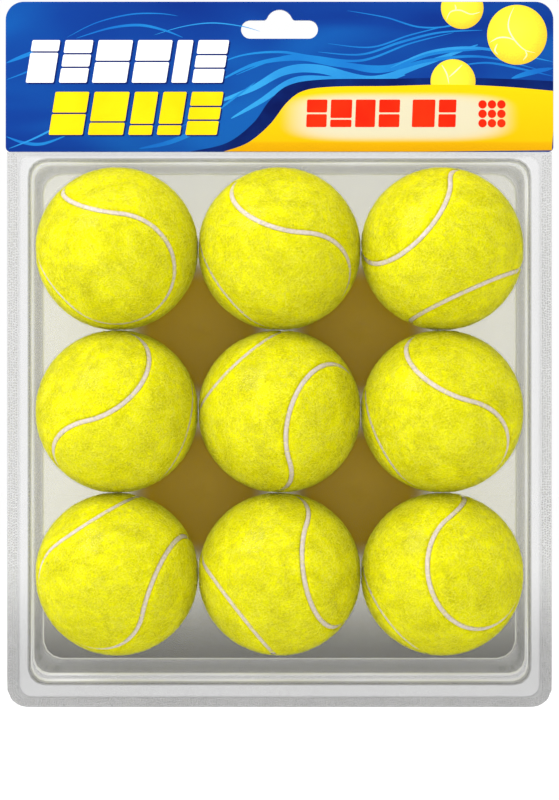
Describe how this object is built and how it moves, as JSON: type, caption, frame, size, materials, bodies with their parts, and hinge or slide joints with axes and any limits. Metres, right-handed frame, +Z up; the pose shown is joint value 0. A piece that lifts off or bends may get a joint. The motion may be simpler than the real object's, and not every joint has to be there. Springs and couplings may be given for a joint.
{
  "type": "tennis ball pack",
  "caption": "Clear sealed blister pack of tennis balls in a square grid, with a tray, a domed cover and a printed header card with a hang slot.",
  "frame": {"origin": "top of the hang slot, where a display peg bears, in the plane where the two clear sheets meet", "axes": "+Z up along the pack's height, -Y towards the shopper, +X to the shopper's right"},
  "size_m": [0.2266, 0.0689, 0.2919],
  "materials": {
    "clear_cover": "clear glossy thermoformed sheet",
    "clear_tray": "clear thermoformed sheet, faintly grey in depth",
    "printed_card": "gloss-coated printed board",
    "felt": "woolly optic yellow felt",
    "rubber_core": "moulded matt rubber",
    "seam_bead": "pale matt vulcanised glue"
  },
  "bodies": {
    "tray": {"back_shell": "clear_tray", "back_tab": "clear_tray", "header_rear": "printed_card"},
    "cover": {"front_shell": "clear_cover", "front_tab": "clear_cover", "dome_1": "clear_cover", "dome_2": "clear_cover", "dome_3": "clear_cover", "dome_4": "clear_cover", "dome_5": "clear_cover", "dome_6": "clear_cover", "dome_7": "clear_cover", "dome_8": "clear_cover", "dome_9": "clear_cover", "header_front": "printed_card"},
    "ball_1": {"ball_1_core_a": "rubber_core", "ball_1_core_b": "rubber_core", "ball_1_felt_a": "felt", "ball_1_felt_b": "felt", "ball_1_seam": "seam_bead"},
    "ball_2": {"ball_2_core_a": "rubber_core", "ball_2_core_b": "rubber_core", "ball_2_felt_a": "felt", "ball_2_felt_b": "felt", "ball_2_seam": "seam_bead"},
    "ball_3": {"ball_3_core_a": "rubber_core", "ball_3_core_b": "rubber_core", "ball_3_felt_a": "felt", "ball_3_felt_b": "felt", "ball_3_seam": "seam_bead"},
    "ball_4": {"ball_4_core_a": "rubber_core", "ball_4_core_b": "rubber_core", "ball_4_felt_a": "felt", "ball_4_felt_b": "felt", "ball_4_seam": "seam_bead"},
    "ball_5": {"ball_5_core_a": "rubber_core", "ball_5_core_b": "rubber_core", "ball_5_felt_a": "felt", "ball_5_felt_b": "felt", "ball_5_seam": "seam_bead"},
    "ball_6": {"ball_6_core_a": "rubber_core", "ball_6_core_b": "rubber_core", "ball_6_felt_a": "felt", "ball_6_felt_b": "felt", "ball_6_seam": "seam_bead"},
    "ball_7": {"ball_7_core_a": "rubber_core", "ball_7_core_b": "rubber_core", "ball_7_felt_a": "felt", "ball_7_felt_b": "felt", "ball_7_seam": "seam_bead"},
    "ball_8": {"ball_8_core_a": "rubber_core", "ball_8_core_b": "rubber_core", "ball_8_felt_a": "felt", "ball_8_felt_b": "felt", "ball_8_seam": "seam_bead"},
    "ball_9": {"ball_9_core_a": "rubber_core", "ball_9_core_b": "rubber_core", "ball_9_felt_a": "felt", "ball_9_felt_b": "felt", "ball_9_seam": "seam_bead"}
  },
  "joints": [
    {"name": "cover_removal", "type": "slide", "parent": "tray", "child": "cover", "axis": [0, -1, 0], "range_m": [0, 0.08]},
    {"name": "ball_1_turn", "type": "hinge", "parent": "tray", "child": "ball_1", "pos_m": [-0.0673, 0, -0.0989], "axis": [0, 0, 1], "continuous": true},
    {"name": "ball_2_turn", "type": "hinge", "parent": "tray", "child": "ball_2", "pos_m": [0, 0, -0.0989], "axis": [0, 0, 1], "continuous": true},
    {"name": "ball_3_turn", "type": "hinge", "parent": "tray", "child": "ball_3", "pos_m": [0.0673, 0, -0.0989], "axis": [0, 0, 1], "continuous": true},
    {"name": "ball_4_turn", "type": "hinge", "parent": "tray", "child": "ball_4", "pos_m": [-0.0673, 0, -0.1662], "axis": [0, 0, 1], "continuous": true},
    {"name": "ball_5_turn", "type": "hinge", "parent": "tray", "child": "ball_5", "pos_m": [0, 0, -0.1662], "axis": [0, 0, 1], "continuous": true},
    {"name": "ball_6_turn", "type": "hinge", "parent": "tray", "child": "ball_6", "pos_m": [0.0673, 0, -0.1662], "axis": [0, 0, 1], "continuous": true},
    {"name": "ball_7_turn", "type": "hinge", "parent": "tray", "child": "ball_7", "pos_m": [-0.0673, 0, -0.2335], "axis": [0, 0, 1], "continuous": true},
    {"name": "ball_8_turn", "type": "hinge", "parent": "tray", "child": "ball_8", "pos_m": [0, 0, -0.2335], "axis": [0, 0, 1], "continuous": true},
    {"name": "ball_9_turn", "type": "hinge", "parent": "tray", "child": "ball_9", "pos_m": [0.0673, 0, -0.2335], "axis": [0, 0, 1], "continuous": true}
  ]
}
